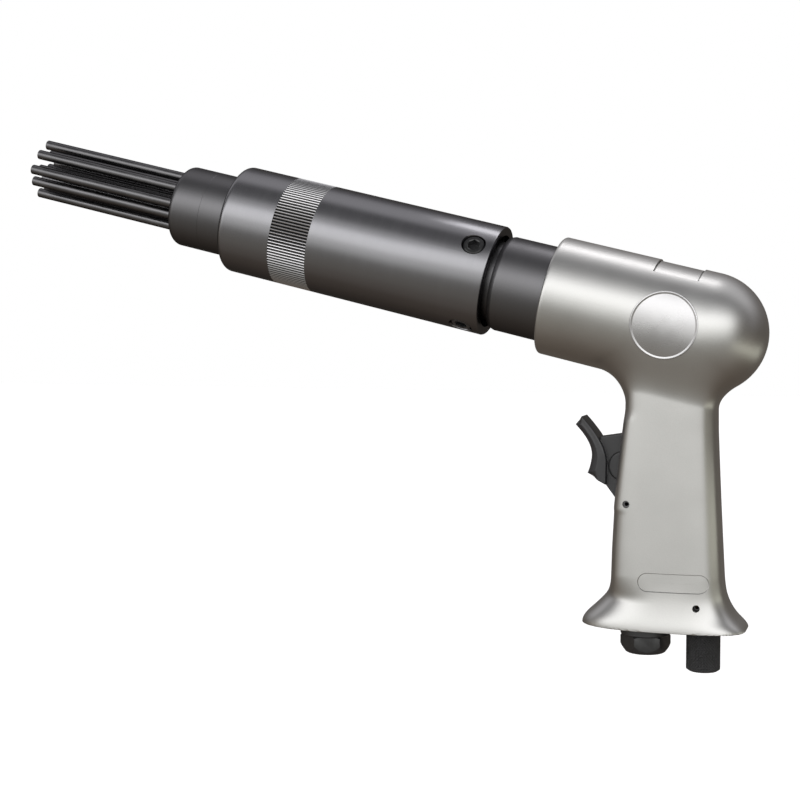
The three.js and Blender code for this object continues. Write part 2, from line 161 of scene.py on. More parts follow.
def outward(obj):
    """Turns a closed mesh's faces outwards."""
    mesh = bmesh.new()
    mesh.from_mesh(obj.data)
    bmesh.ops.recalc_face_normals(mesh, faces=mesh.faces)
    if mesh.calc_volume(signed=True) < 0:
        bmesh.ops.reverse_faces(mesh, faces=mesh.faces)
    mesh.to_mesh(obj.data)
    mesh.free()
    return obj


def boolean(obj, tools, operation="DIFFERENCE", sharp=30):
    """Cuts or joins closed meshes and removes the tools."""
    for tool in tools:
        modifier = obj.modifiers.new("cut", "BOOLEAN")
        modifier.operation = operation
        modifier.solver = "MANIFOLD"
        modifier.object = tool
    apply_modifiers(obj, sharp)
    for tool in tools:
        bpy.data.objects.remove(tool)
    return obj


def bevel(obj, width, segments, angle):
    """Bevels the edges sharper than an angle in degrees."""
    modifier = obj.modifiers.new("edge", "BEVEL")
    modifier.width = width * MM
    modifier.segments = segments
    modifier.limit_method = "ANGLE"
    modifier.angle_limit = math.radians(angle)
    apply_modifiers(obj, angle)
    return obj


def rounded(profile, steps=5):
    """A closed (radius, station) outline, rounded at the corners that have a third number, a fillet."""
    out = []
    for i, corner in enumerate(profile):
        here = np.array(corner[:2], float)
        if len(corner) < 3:
            out.append(here)
            continue
        fillet = corner[2]
        back = np.array(profile[i - 1][:2], float) - here
        ahead = np.array(profile[(i + 1) % len(profile)][:2], float) - here
        reach = min(fillet, 0.49 * np.linalg.norm(back), 0.49 * np.linalg.norm(ahead))
        back *= reach / np.linalg.norm(back)
        ahead *= reach / np.linalg.norm(ahead)
        for k in range(steps + 1):
            t = k / steps
            out.append(here + back * (1 - t) ** 2 + ahead * t**2)
    return out


def between(low, high):
    """Faces between two rings of vertices. A ring that is one point repeated gives triangles."""
    faces = []
    for i in range(len(low)):
        j = (i + 1) % len(low)
        face = [low[i], low[j], high[j], high[i]]
        face = [v for k, v in enumerate(face) if v != face[k - 1]]
        if len(face) > 2:
            faces.append(face)
    return faces


def lathe(name, profile, matrix=BARREL, sides=128, shape=None, sharp=30):
    """A solid of revolution about local Z. `shape(angle, r, z)` may change a ring's radius."""
    angles = np.arange(sides) * 2 * math.pi / sides
    verts, rings = [], []
    for r, z in rounded(profile):
        if r < 1e-6:
            rings.append([len(verts)] * sides)
            verts.append((0, 0, z))
            continue
        radii = shape(angles, r, z) if shape else np.full(sides, r)
        rings.append(list(range(len(verts), len(verts) + sides)))
        verts += [(q * math.cos(a), q * math.sin(a), z) for q, a in zip(radii, angles)]
    faces = [face for low, high in zip(rings, rings[1:] + rings[:1]) for face in between(low, high)]
    return new_object(name, verts, faces, matrix, sharp)


def prism(name, outline, low, high, matrix=None, sharp=30):
    """A prism on an (x, y) outline, anticlockwise, from local z low to high."""
    count = len(outline)
    verts = [(x, y, low) for x, y in outline] + [(x, y, high) for x, y in outline]
    faces = [list(range(count))[::-1], list(range(count, 2 * count))]
    faces += [[i, (i + 1) % count, (i + 1) % count + count, i + count] for i in range(count)]
    return new_object(name, verts, faces, matrix, sharp)


def circle(r, count, start=0.0):
    turn = [start + i * 2 * math.pi / count for i in range(count)]
    return [(r * math.cos(a), r * math.sin(a)) for a in turn]


def along_y(x, z, y=0.0):
    """A frame whose local Z is the tool's -Y, through (x, y, z)."""
    return at(x, y, z) @ Matrix.Rotation(math.pi / 2, 4, "X")


def at(x, y, z):
    return Matrix.Translation(Vector((x, y, z)) * MM)


# ---- rounded solids from distance fields


def meet(a, b, radius):
    """Intersection of two distance fields with a rounded edge."""
    inside = np.minimum(-radius, np.maximum(a, b))
    return inside + np.hypot(np.maximum(a + radius, 0), np.maximum(b + radius, 0))


def merge(a, b, radius):
    """Union of two distance fields with a fillet in the corner."""
    outside = np.maximum(radius, np.minimum(a, b))
    return outside - np.hypot(np.maximum(radius - a, 0), np.maximum(radius - b, 0))


def gradient(field, p, h=0.02):
    """A field's slope at points, by differences over `h` each way."""
    columns = []
    for axis in range(3):
        step = np.zeros(3)
        step[axis] = h
        columns.append((field(p + step) - field(p - step)) / (2 * h))
    return np.stack(columns, -1)


def field_object(name, field, low, high, step, sharp=30):
    """Meshes the zero surface of a field over a box, then moves each vertex onto the surface itself."""
    counts = np.ceil((np.array(high) - low) / step).astype(int) + 1
    lines = [low[i] + step * np.arange(counts[i]) for i in range(3)]
    values = np.empty(counts, np.float32)
    for i, x in enumerate(lines[0]):
        y, z = np.meshgrid(lines[1], lines[2], indexing="ij")
        values[i] = field(np.stack([np.full_like(y, x), y, z], -1))
    grid = openvdb.FloatGrid(background=float(values.max()))
    grid.copyFromArray(values)
    verts, quads = grid.convertToQuads(isovalue=0.0)
    verts = verts.astype(float) * step + low
    for _ in range(3):
        slope = gradient(field, verts)
        size = np.maximum((slope**2).sum(-1), 0.05)
        move = -(field(verts) / size)[:, None] * slope
        reach = np.linalg.norm(move, axis=1, keepdims=True)
        verts += move * np.minimum(1, 0.5 * step / np.maximum(reach, 1e-9))
    corners4 = verts[quads]
    normals = np.cross(corners4[:, 2] - corners4[:, 0], corners4[:, 3] - corners4[:, 1])
    middle = corners4.mean(1)
    facing_out = (normals * gradient(field, middle)).sum() > 0
    faces = quads.tolist() if facing_out else quads[:, ::-1].tolist()
    return new_object(name, verts, faces, sharp=sharp)


def line_distance(line, x, z):
    """Distance to an open (x, z) line of points."""
    best = np.full(x.shape, np.inf)
    for (x1, z1), (x2, z2) in zip(line, line[1:]):
        dx, dz = x2 - x1, z2 - z1
        t = np.clip(((x - x1) * dx + (z - z1) * dz) / (dx * dx + dz * dz), 0, 1)
        best = np.minimum(best, np.hypot(x - x1 - t * dx, z - z1 - t * dz))
    return best


def polygon_field(outline, x, z):
    """Signed distance to a closed (x, z) outline."""
    closed = outline + outline[:1]
    inside = np.zeros(x.shape, bool)
    for (x1, z1), (x2, z2) in zip(closed, closed[1:]):
        if z1 != z2:
            crosses = (z1 > z) != (z2 > z)
            inside ^= crosses & (x < (x2 - x1) * (z - z1) / (z2 - z1) + x1)
    distance = line_distance(closed, x, z)
    return np.where(inside, -distance, distance)


# ---- housing
DOME = -57.7  # station of the rear dome's centre
FRONT_EDGE = 1.1  # rounding of the body's front edge
# The grip's outline up its height: level, front, rear, half width.
GRIP = np.array([
    [-20, -33.6, 26.6, 16.9],
    [0, -34.0, 26.8, 17.0],
    [1.3, -34.6, 26.8, 17.0],
    [4, -32.4, 22.9, 16.4],
    [8, -27.9, 20.2, 15.7],
    [12, -24.1, 18.5, 15.2],
    [17, -22.7, 17.7, 15.0],
    [29, -22.4, 17.0, 14.8],
    [45, -21.6, 16.1, 14.6],
    [59, -20.2, 15.4, 14.5],
    [72, -18.8, 14.8, 14.4],
    [79, -17.9, 14.7, 14.4],
    [130, -17.4, 15.2, 14.2],
])
GRIP_BLUR = 1.6  # spread of the smoothing up the outline
GRIP_TOP = 108.0  # where the grip ends inside the body
# A section is an oval of some squareness, which changes from the flange to the grip between two levels.
FLANGE_TOP = 10.0
GRIP_LOW = 20.0
FRONT_SQUARENESS = {"flange": 2.3, "grip": 3.8}
REAR_SQUARENESS = {"flange": 3.6, "grip": 4.0}
# The squarer pad that the trigger's slot is cut in.
PAD_SQUARENESS = 4.4
PAD = {"low": 42.7, "low_fade": 1.2, "high": 77.6, "high_fade": 2.4, "depth": 0.5, "fade": 6.5}
NECK_FILLET = {"front": 10.5, "side": 7.5, "rear": 6.8}
NECK_TURN = (0.28, 0.55)  # the share of "sideways" over which an end's fillet becomes the side's
BASE_EDGE = 0.35
SLOT = {"rear": -8.6, "half": 4.4, "low": 40.6, "high": 74.6, "edge": 0.8}
BADGE = {"station": -44.9, "r": 12.1, "pocket": 0.95, "bulge": 33.0, "sunk": 0.4}
RECESS = {"from": -52.0, "to": -35.5, "half": 13.4, "depth": 0.55, "draft": 0.1}
RECESS_SLIT = {"width": 0.5, "depth": 1.2}
OIL_PANEL = {"x": 1.3, "z": 17.9, "length": 25.5, "height": 6.9, "depth": 0.38, "draft": 0.25}
PORT_BORE = 7.1
SPINDLE_BORE = 4.2
SPOT_FACE = 0.4
HOUSING_STEP = 0.5  # spacing of the grid that the casting is meshed on
HOUSING_MARGIN = 1.5  # room round the casting in that grid
ABOVE = 0.02  # how far a patch's rim stands over the surface that it is cut in
OUTSIDE = 40.0  # a y that is well past the housing's sides

LEVEL_STEP = 0.25
BLUR_REACH = 24
grip_levels = np.arange(-10, 125, LEVEL_STEP)
blur = np.exp(-0.5 * (np.arange(-BLUR_REACH, BLUR_REACH + 1) * LEVEL_STEP / GRIP_BLUR) ** 2)
blur /= blur.sum()


def grip_line(column):
    """One column of the grip's outline, smoothed, at each level."""
    raw = np.interp(grip_levels, GRIP[:, 0], GRIP[:, column])
    padded = np.pad(raw, BLUR_REACH, mode="edge")
    return np.convolve(padded, blur, mode="valid")


grip_front, grip_rear, grip_half = grip_line(1), grip_line(2), grip_line(3)


def ease(x, start, end):
    """0 before start, 1 after end, smooth between."""
    t = np.clip((x - start) / (end - start), 0, 1)
    return t * t * (3 - 2 * t)


def oval_field(u, v, half_x, half_y, power):
    """Distance, near its surface, to an oval of the given squareness in scaled coordinates."""
    size = (np.abs(u) ** power + np.abs(v) ** power) ** (1 / power) + 1e-9
    slope_x = (np.abs(u) / size) ** (power - 1) / half_x
    slope_y = (np.abs(v) / size) ** (power - 1) / half_y
    return (size - 1) / (np.hypot(slope_x, slope_y) + 1e-9)


def body_field(p):
    """The body: a cylinder with a domed rear end and a rounded front edge."""
    offset = p - FACE
    station = offset @ AXIS
    radius = np.sqrt(np.maximum((offset**2).sum(-1) - station**2, 0))
    wall = np.hypot(radius, np.minimum(station - DOME, 0)) - HOUSING_R
    return meet(wall, station - HOUSING_FRONT, FRONT_EDGE)


def housing_field(p):
    """The whole casting, without its bores: grip, flange, body and the trigger's slot."""
    x, y, z = p[..., 0], p[..., 1], p[..., 2]
    front = np.interp(z, grip_levels, grip_front)
    rear = np.interp(z, grip_levels, grip_rear)
    half_y = np.interp(z, grip_levels, grip_half)
    half_x = (rear - front) / 2
    u = (x - (front + rear) / 2) / half_x
    v = y / half_y
    height = ease(z, FLANGE_TOP, GRIP_LOW)
    at_front = FRONT_SQUARENESS["flange"] * (1 - height) + FRONT_SQUARENESS["grip"] * height
    at_rear = REAR_SQUARENESS["flange"] * (1 - height) + REAR_SQUARENESS["grip"] * height
    squareness = np.where(u < 0, at_front, at_rear)
    grip = oval_field(u, v, half_x, half_y, squareness)
    pad = oval_field(u, v, half_x, half_y, PAD_SQUARENESS)
    on_pad = ease(z, PAD["low"] - PAD["low_fade"], PAD["low"] + PAD["low_fade"])
    on_pad = on_pad * (1 - ease(z, PAD["high"] - PAD["high_fade"], PAD["high"] + PAD["high_fade"]))
    on_pad = on_pad * (1 - ease(x - front, PAD["depth"], PAD["depth"] + PAD["fade"]))
    grip = meet(grip + on_pad * (pad - grip), z - GRIP_TOP, 4)
    sideways = np.abs(v) / (np.abs(u) + np.abs(v) + 1e-9)
    ends = 1 - ease(sideways, *NECK_TURN)
    end_fillet = np.where(u < 0, NECK_FILLET["front"], NECK_FILLET["rear"])
    fillet = NECK_FILLET["side"] + ends * (end_fillet - NECK_FILLET["side"])
    solid = merge(grip, body_field(p), fillet)
    solid = meet(solid, -z, BASE_EDGE)
    middle = (SLOT["low"] + SLOT["high"]) / 2
    slot = np.maximum(np.abs(y) - SLOT["half"], np.abs(z - middle) - (SLOT["high"] - middle))
    slot = np.maximum(slot, x - SLOT["rear"])
    return meet(solid, -slot, SLOT["edge"])


def surface_y(x, z, field):
    """The -Y side's surface over (x, z) points, by bisection."""
    low = np.full(x.shape, -OUTSIDE)
    high = np.zeros(x.shape)
    for _ in range(30):
        middle = (low + high) / 2
        outside = field(np.stack([x, middle, z], -1)) > 0
        low = np.where(outside, middle, low)
        high = np.where(outside, high, middle)
    return low


def patch_cutter(name, outlines, depths, height, matrix=None):
    """A cutter with a curved floor. Outlines run from centre to rim, each at a depth below `height`."""
    count = len(outlines[0])
    verts = []
    for outline, depth in zip(outlines, depths):
        a, b = np.array(outline).T
        verts += list(zip(a, height(a, b) + depth, b))
    verts += [(a, -OUTSIDE, b) for a, b in outlines[-1]]
    faces = [list(range(count))]
    for ring in range(len(outlines)):
        low, high = ring * count, (ring + 1) * count
        for i in range(count):
            j = (i + 1) % count
            faces.append([low + j, low + i, high + i, high + j])
    faces.append([len(verts) - 1 - i for i in range(count)])
    return outward(new_object(name, verts, faces, matrix))


def stadium(x, z, length, height, inset):
    """A round-ended slot's outline, drawn in from its edge by the inset."""
    r = height / 2 - inset
    straight = (length - height) / 2
    turn = np.linspace(-math.pi / 2, math.pi / 2, 15)
    run = np.linspace(-straight, straight, 20)[1:-1]
    right = [(x + straight + r * math.cos(a), z + r * math.sin(a)) for a in turn]
    top = [(x - t, z + r) for t in run]
    left = [(x - straight - r * math.cos(a), z - r * math.sin(a)) for a in turn]
    bottom = [(x + t, z - r) for t in run]
    return right + top + left + bottom


def shrink(outline, scale):
    """An outline scaled about its middle."""
    centre = np.mean(outline, axis=0)
    return [tuple(centre + (np.array(p) - centre) * scale) for p in outline]


def build_housing():
    low, high = corners("housing")
    low, high = low - HOUSING_MARGIN, high + HOUSING_MARGIN
    housing = field_object("housing_casting", housing_field, low, high, HOUSING_STEP, sharp=40)
    cuts = [panel_cutter(), badge_cutter(), *recess_cutters(), *bore_cutters()]
    return boolean(housing, cuts, sharp=40)


def panel_cutter():
    """The oval panel low on the grip, with a floor that follows the grip's side."""
    panel = OIL_PANEL
    insets = (panel["height"] / 2 - ABOVE, 2.8, 1.9, 1.0, panel["draft"], 0)
    rings = [stadium(panel["x"], panel["z"], panel["length"], panel["height"], inset) for inset in insets]

    def grip_side(x, z):
        return surface_y(x, z, housing_field)

    return patch_cutter("panel_cut", rings, [panel["depth"]] * 5 + [-ABOVE], grip_side)


def badge_cutter():
    """The badge's pocket, in the barrel's frame."""
    pocket = circle(BADGE["r"] + 0.02, 96)

    def wall(x, z):
        return -np.sqrt(HOUSING_R**2 - np.minimum(x**2, 400))

    rings = [shrink(pocket, scale) for scale in (0.02, 0.4, 0.7, 0.9, 1.0)]
    rings.append(circle(BADGE["r"] + 0.03, 96))
    badge_place = BARREL @ at(0, 0, BADGE["station"])
    return patch_cutter("badge_cut", rings, [BADGE["pocket"]] * 5 + [-ABOVE], wall, badge_place)


def band_cutter(name, stations_radii, half):
    """A cutter across the housing's top, from the (station, radius, growth) corners of its section."""
    rows = []
    for station, radius, grow in stations_radii:
        reach = math.asin((half + grow) / radius)
        sweep = np.linspace(-reach, reach, 41)
        rows.append([(radius * math.cos(a), radius * math.sin(a), station) for a in sweep])
    count = len(rows[0])
    verts = [v for row in rows for v in row]
    faces = []
    for k in range(4):
        a, b = k * count, (k + 1) % 4 * count
        faces += [[a + i, a + i + 1, b + i + 1, b + i] for i in range(count - 1)]
    faces.append([k * count for k in range(4)])
    faces.append([k * count + count - 1 for k in (3, 2, 1, 0)])
    return outward(new_object(name, verts, faces, BARREL))


def recess_cutters():
    """A shallow step across the housing's top with slanted walls, and a slit along each end of it."""
    floor, top, draft = HOUSING_R - RECESS["depth"], HOUSING_R + 1, 3 * RECESS["draft"]
    rear, front, half = RECESS["from"], RECESS["to"], RECESS["half"]
    step = [(rear, floor, 0), (rear - draft, top, draft), (front + draft, top, draft), (front, floor, 0)]
    cutters = [band_cutter("recess_cut", step, half)]
    foot, mouth, width = HOUSING_R - RECESS_SLIT["depth"], floor + 0.2, RECESS_SLIT["width"]
    for start, end in ((rear, rear + width), (front - width, front)):
        slit = [(start, foot, 0), (start, mouth, 0), (end, mouth, 0), (end, foot, 0)]
        cutters.append(band_cutter("recess_slit", slit, half - 0.1))
    return cutters


def bore_cutters():
    """The bores and drillings, with small chamfers at their mouths."""
    mouth = HOUSING_FRONT
    main = [(0, -62), (12, -62), (12, -50), (17.2, -50), (17.2, -13), (18.5, -13)]
    main += [(18.5, mouth - 0.5), (19.1, mouth + 0.1), (19.1, mouth + 2), (0, mouth + 2)]
    throttle = [(0, -9), (6.5, -9), (6.5, 9.6), (0, 9.6)]
    throttle_place = at(0, 0, 59) @ Matrix.Rotation(math.pi / 2, 4, "Y")
    inlet = [(5.6, 30), (5.6, 13), (PORT_BORE, 13), (PORT_BORE, 0.7)]
    inlet += [(7.4, SPOT_FACE), (9.6, SPOT_FACE), (9.6, -2), (0, -2), (0, 30)]
    spindle = [(SPINDLE_BORE, 36), (SPINDLE_BORE, SPOT_FACE), (6.6, SPOT_FACE), (6.6, -2), (0, -2), (0, 36)]
    trigger_pin = [(0, -25), (1.35, -25), (1.35, 25), (0, 25)]
    regulator_pin = [(0, 0), (1.3, 0), (1.3, 25), (0, 25)]
    pin_middle = sum(corners("regulator_pin")) / 2
    bores = (
        ("main_bore", main, BARREL, 96),
        ("throttle_bore", throttle, throttle_place, 48),
        ("inlet_bore", inlet, at(middle_x("inlet_bushing"), 0, 0), 64),
        ("spindle_bore", spindle, at(middle_x("regulator_knob"), 0, 0), 48),
        ("trigger_pin_hole", trigger_pin, along_y(PIVOT[0], PIVOT[2]), 32),
        ("regulator_pin_hole", regulator_pin, along_y(pin_middle[0], pin_middle[2]), 32),
    )
    return [outward(lathe(*bore)) for bore in bores]


# ---- badge
def build_badge():
    """A round badge, flatter than the housing's wall, with a thin raised rim and a blank face."""
    r, rim, raised = BADGE["r"], 0.95, 0.35
    middle = HOUSING_R - BADGE["sunk"]
    profile = [(reach, 0.0) for reach in (0.0, 0.3 * r, 0.6 * r, 0.8 * r, r - rim)]
    profile += [(r - 0.38, raised), (r - 0.06, raised), (r, raised - 0.08)]
    sides = 128
    verts, rings = [], []

    def add_ring(reach, height):
        ring = []
        for i in range(sides if reach else 1):
            a = i * 2 * math.pi / sides
            x, z = reach * math.cos(a), reach * math.sin(a)
            ring.append(len(verts))
            verts.append((x, -height(x), z))
        rings.append(ring * sides if len(ring) == 1 else ring)

    def back(x):
        return math.sqrt((HOUSING_R - BADGE["pocket"] + 0.05) ** 2 - x * x)

    for reach, lift in profile:
        add_ring(reach, lambda x: math.sqrt(BADGE["bulge"] ** 2 - x * x) - BADGE["bulge"] + middle + lift)
    add_ring(r, back)
    add_ring(0.0, back)
    faces = [face for low, high in zip(rings, rings[1:]) for face in between(low, high)]
    badge_place = BARREL @ at(0, 0, BADGE["station"])
    return outward(new_object("side_badge_disc", verts, faces, badge_place, sharp=20))


# ---- trigger
BLADE_HALF = 6.3
WEB_HALF = 3.7
HEEL_R = 3.9
# The blade's side edges are well rounded along the finger's face and crisp behind it.
SOFT_EDGE = {"least": 0.4, "more": 4.0, "fade": (2.0, 5.5)}
TRIGGER_STEP = 0.22
TRIGGER_MARGIN = 0.8


def curve(start, control, end, steps=14):
    """Points on a quadratic curve from start to end."""
    t = np.linspace(0, 1, steps)[:, None]
    bend = (1 - t) ** 2 * start + 2 * t * (1 - t) * control + t**2 * end
    return [tuple(q) for q in bend]


def trigger_outlines():
    """(x, z) outlines: the finger's open line, the closed blade behind it, and the closed web."""
    tip, hollow, toe = np.array([(-36.9, 73.5), (-30.9, 60.6), (-32.3, 55.6)])
    finger = curve(tip, np.array((-29.6, 66.2)), hollow)
    finger += curve(hollow, np.array((-31.2, 58.2)), toe, 8)[1:]
    back_low, back_high = np.array([(-24.7, 60.2), (-34.1, 76.8)])
    back = [(-24.9, 51.7), (-24.7, 60.2)]
    back += curve(back_low, np.array((-25.1, 67.4)), back_high)[1:]
    turn = np.radians(np.linspace(215, 372, 24))
    heel = [(PIVOT[0] + HEEL_R * math.cos(a), PIVOT[2] + HEEL_R * math.sin(a)) for a in turn]
    web = [(-27.4, 69.2), (-27.0, 53.9)] + heel + [(-13.2, 57.0), (-13.7, 71.4)]
    return finger, finger + back, web


FINGER, BLADE, WEB = trigger_outlines()
BOSS = {"x": -18.7, "z": 58.6, "r": 5.2, "half": 4.0, "groove": 0.5}


def trigger_field(p):
    """The trigger's blade, web and boss, without the hole and the grooves."""
    x, y, z = p[..., 0], np.abs(p[..., 1]), p[..., 2]
    near_finger = 1 - ease(line_distance(FINGER, x, z), *SOFT_EDGE["fade"])
    rounding = SOFT_EDGE["least"] + SOFT_EDGE["more"] * near_finger
    blade = meet(polygon_field(BLADE, x, z), y - BLADE_HALF, rounding)
    web = meet(polygon_field(WEB, x, z), y - WEB_HALF, 0.3)
    boss = meet(np.hypot(x - BOSS["x"], z - BOSS["z"]) - BOSS["r"], y - BOSS["half"], 0.12)
    return np.minimum(blade, np.minimum(web, boss))


def build_trigger():
    """The moulded trigger, with its pin's hole and a groove round the boss on each side."""
    low, high = corners("trigger")
    low, high = low - TRIGGER_MARGIN, high + TRIGGER_MARGIN
    trigger = field_object("trigger_moulding", trigger_field, low, high, TRIGGER_STEP, sharp=35)
    hole = [(0, -9), (1.5, -9), (1.5, 9), (0, 9)]
    cutters = [lathe("trigger_hole", hole, along_y(PIVOT[0], PIVOT[2]), 32)]
    inner, outer, foot = BOSS["r"] - 0.05, BOSS["r"] - 0.05 + BOSS["groove"], WEB_HALF - 1.1
    for side, name in ((1, "near"), (-1, "far")):
        section = [(inner, side * foot), (outer, side * foot), (outer, side * 6), (inner, side * 6)]
        cutters.append(lathe(f"boss_groove_{name}", section, along_y(BOSS["x"], BOSS["z"]), 96))
    return boolean(trigger, [outward(cutter) for cutter in cutters], sharp=35)


# ---- pins
def roll_pin(name, node, r):
    """A rolled spring pin: a split tube along Y."""
    low, high = corners(node)
    middle = (low + high) / 2
    wall, slit = 0.45, 0.25  # the tube's thickness, and half its slit's angle in radians
    turn = np.linspace(slit, 2 * math.pi - slit, 40)
    outer = [(r * math.cos(a), r * math.sin(a)) for a in turn]
    inner = [((r - wall) * math.cos(a), (r - wall) * math.sin(a)) for a in turn[::-1]]
    pin_place = at(*middle) @ Matrix.Rotation(math.pi / 2, 4, "X")
    length = (high[1] - low[1]) / 2
    return outward(prism(name, outer + inner, -length, length, pin_place, sharp=35))


# ---- inlet and regulator
# The port's threads have their crests towards its middle.
INLET = {"flats": 16, "turn": 13, "mouth": 6.25, "crest": 5.6, "root": 6.1, "threads": 7, "pitch": 1.34}
DIAMONDS = {"count": 34, "depth": 0.28, "steepness": 2.4, "slant": 0.55}


def build_inlet():
    """The hexagon with a rounded crown, the collar and neck above it, and the threaded port."""
    stand = at(middle_x("inlet_bushing"), 0, 0)
    bottom, shoulder, top = corners("inlet_bushing")[0][2], -3.4, 12.6
    corner = INLET["flats"] / math.sqrt(3)
    wide = corner + 0.2
    crown = [(0, bottom), (6.9, bottom), (7.4, bottom + 0.3), (8.0, bottom + 1.1), (8.8, bottom + 2.3)]
    crown += [(wide, bottom + 3.6), (wide, shoulder - 0.9), (8.1, shoulder), (0, shoulder)]
    flats = circle(corner, 6, start=math.radians(INLET["turn"]))
    hexagon = prism("inlet_bushing_body", flats, bottom, shoulder, stand)
    boolean(hexagon, [outward(lathe("crown", crown, stand, 96))], "INTERSECT")
    bevel(hexagon, 0.1, 2, 25)
    rim, seat = corner - 0.04, SPOT_FACE - 0.2
    neck = [(6.2, shoulder - 0.6), (rim - 0.5, shoulder - 0.35), (rim, shoulder + 0.1)]
    neck += [(rim, SPOT_FACE - 0.5), (rim - 0.3, seat), (6.8, seat), (6.8, top - 0.6)]
    neck += [(6.2, top), (0, top), (0, shoulder - 0.6)]
    boolean(hexagon, [outward(lathe("collar", neck, stand, 96))], "UNION")
    mouth, root, crest = INLET["mouth"], INLET["root"], INLET["crest"]
    port = [(0, bottom - 1), (mouth, bottom - 1), (mouth, bottom + 0.1)]
    for i in range(INLET["threads"]):
        z = bottom + 0.8 + i * INLET["pitch"]
        port += [(crest, z), (crest, z + 0.3), (root, z + 0.75)]
    port += [(crest, -0.2), (4.2, 0), (4.2, top + 1), (0, top + 1)]
    return boolean(hexagon, [outward(lathe("port", port, stand, 96))], sharp=25)


def build_knob():
    """A turned knob with a fine diamond knurl round it."""
    low, high = corners("regulator_knob")
    r = (high[0] - low[0]) / 2
    bottom, top = low[2], high[2]
    knurl_low, knurl_high = bottom + 1.0, top - 0.5
    count = DIAMONDS["count"]
    pitch = 2 * math.pi * r / count

    def knurl(angle, radius, z):
        if radius < r - 0.3:
            return np.full(angle.shape, radius)
        turns = angle * count / (2 * math.pi)
        along = (z - bottom) / (pitch * DIAMONDS["slant"])
        left, right = (np.abs(((turns + lean * along / 2) % 1) - 0.5) * 2 for lean in (1, -1))
        depth = np.maximum(1 - left * DIAMONDS["steepness"], 1 - right * DIAMONDS["steepness"])
        fade = ease(z, knurl_low - 0.2, knurl_low + 0.2) * (1 - ease(z, knurl_high - 0.2, knurl_high + 0.2))
        return radius - DIAMONDS["depth"] * np.clip(depth, 0, 1) * fade

    rows = np.arange(knurl_low - 0.3, knurl_high + 0.3, 0.16)
    profile = [(0, bottom), (r - 1.3, bottom), (r - 0.95, bottom + 0.08), (r - 0.08, bottom + 0.7)]
    profile += [(r, z) for z in rows if bottom + 0.7 < z < top - 0.4]
    profile += [(r - 0.05, top - 0.3), (r - 0.4, top), (2.4, top), (2.4, bottom + 6), (0, bottom + 6)]
    stand = at(middle_x("regulator_knob"), 0, 0)
    knob = lathe("regulator_knob_grip", profile, stand, count * 9, shape=knurl, sharp=35)
    return outward(knob)


# ---- barrel
# Stations and radii. An edge is the radius of a rounded corner.
CYLINDER = {"rear": -30.2, "shoulder": 21.2, "front": 60.3, "r": 17.9, "neck": 15.0, "bore": 9.5}
SHROUD = {"rear": 23.3, "front": 130.4, "r": 20.8, "bore": 17.6, "lip": 16.05, "edge": 2.6}
KNURL = {"from": 92.9, "to": 108.4, "count": 108, "depth": 0.45}
SCREW = {"station": 30.5, "r": 4.0, "socket": 4.3, "angles": (36.0, 126.0, 216.0, 295.0)}
NOSE = {"rear": 90.0, "step": 125.2, "front": 154.5, "r": 15.75, "bore": 14.3, "mouth": 12.9, "edge": 2.8}
NOSE_FOOT_R = 17.3  # the thicker end of the nose tube, inside the sleeve
HAIRLINE = {"station": 141.0, "half": 0.06, "depth": 0.05}
GUIDE = {"rear": 144.0, "r": 14.0}
NEEDLE = {"rear": 94.3, "front": 219.0, "r": 1.9, "head": 2.35}


def corner_arc(r, z, radius, start, end, steps=12):
    """(radius, station) points round a corner's centre, between two angles in degrees."""
    turn = np.radians(np.linspace(start, end, steps))
    return [(r + radius * math.cos(a), z + radius * math.sin(a)) for a in turn]


def build_cylinder():
    c = CYLINDER
    bore, r, neck, shoulder, front = c["bore"], c["r"], c["neck"], c["shoulder"], c["front"]
    profile = [(bore, c["rear"]), (16.9, c["rear"]), (16.9, -12.6), (r, -12.6)]
    profile += [(r, shoulder - 1.9, 0.3), (r - 0.8, shoulder, 0.2), (neck, shoulder)]
    profile += [(neck, front - 0.8), (neck - 0.8, front), (6.3, front), (6.3, 50), (bore, 50)]
    cylinder = lathe("cylinder_barrel", profile, sides=144)
    ports = []
    for i in range(3):
        turn = Matrix.Rotation(i * 2 * math.pi / 3, 4, "Z") @ at(0, 0, -8)
        turn = turn @ Matrix.Rotation(math.pi / 2, 4, "Y")
        ports.append(lathe(f"port_{i}", [(0, 5), (1.5, 5), (1.5, 19), (0, 19)], BARREL @ turn, 24))
    return boolean(cylinder, ports)


def around(index):
    """Frame of a set screw: local Z out of the shroud at the screw's place."""
    turn = Matrix.Rotation(math.radians(SCREW["angles"][index]), 4, "Z")
    return BARREL @ (turn @ at(0, 0, SCREW["station"]) @ Matrix.Rotation(math.pi / 2, 4, "X"))


